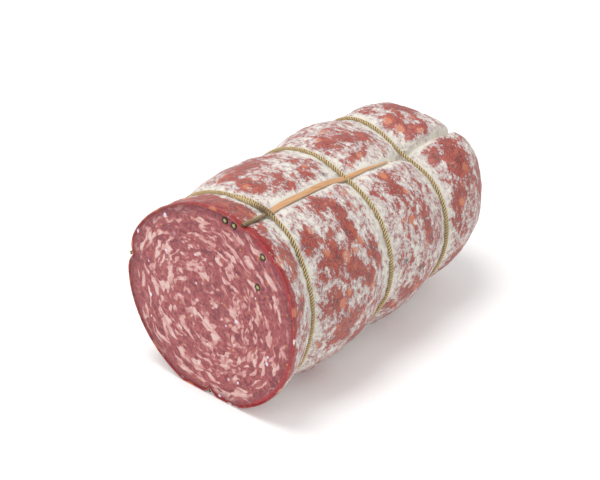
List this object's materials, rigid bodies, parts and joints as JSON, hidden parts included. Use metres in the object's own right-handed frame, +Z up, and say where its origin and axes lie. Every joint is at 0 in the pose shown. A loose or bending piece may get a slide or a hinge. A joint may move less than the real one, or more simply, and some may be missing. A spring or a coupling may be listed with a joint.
{
  "type": "cured sausage",
  "caption": "Cut half of a large cured sausage lying on its side, lobed by hoops and lengthwise cords of twine, with a flat cut face and a rounded end.",
  "frame": {"origin": "middle of the bounding box, on the surface the sausage lies on", "axes": "+Z up, +Y along the sausage from the cut face to the rounded end, -Y out of the cut face"},
  "size_m": [0.154, 0.2596, 0.1497],
  "materials": {
    "filling": "moist cut face of lean meat and white fat",
    "casing": "dry natural skin under white powdery mould, dark red where bare",
    "twine": "twisted natural twine",
    "stained_twine": "twisted twine stained dark",
    "strip": "smooth pale reed",
    "peppercorn": "dull wrinkled husk with a pale core"
  },
  "bodies": {
    "root": {"filling": "filling", "casing": "casing", "hoop_front": "twine", "hoop_middle": "twine", "hoop_rear": "twine", "spine_cord": "twine", "side_cord": "twine", "cord_stub": "stained_twine", "top_strip": "strip", "peppercorn_1": "peppercorn", "peppercorn_2": "peppercorn", "peppercorn_3": "peppercorn", "peppercorn_4": "peppercorn"}
  },
  "joints": []
}
